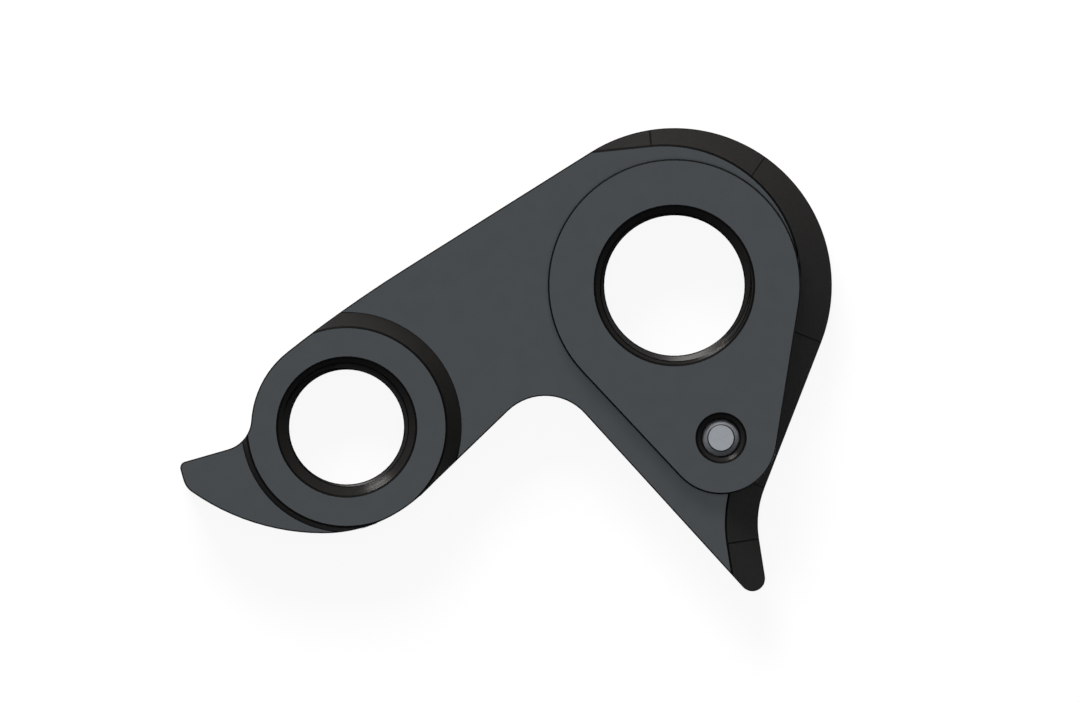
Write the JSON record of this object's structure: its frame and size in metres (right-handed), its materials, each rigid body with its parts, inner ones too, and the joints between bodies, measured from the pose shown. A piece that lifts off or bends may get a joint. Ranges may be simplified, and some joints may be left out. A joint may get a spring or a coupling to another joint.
{
  "type": "bicycle derailleur hanger",
  "caption": "Drive-side rear derailleur hanger for a through-axle frame: black plate with a threaded axle eye, a threaded derailleur boss with a stop tab, a sloped flank and a fixing screw.",
  "frame": {"origin": "centre of the axle thread on the flat inboard face", "axes": "+Z along the axle, outboard, away from the frame; seen from outboard with +X to the right, the arm to the derailleur thread runs left and down, towards -X and -Y"},
  "size_m": [0.0511, 0.0363, 0.0085],
  "materials": {
    "anodised_aluminium": "black anodised, satin, machined faces with fine broken edges",
    "screw_steel": "plain steel, turned and lightly polished"
  },
  "bodies": {
    "root": {"hanger_body": "anodised_aluminium", "fixing_screw": "screw_steel"}
  },
  "joints": []
}
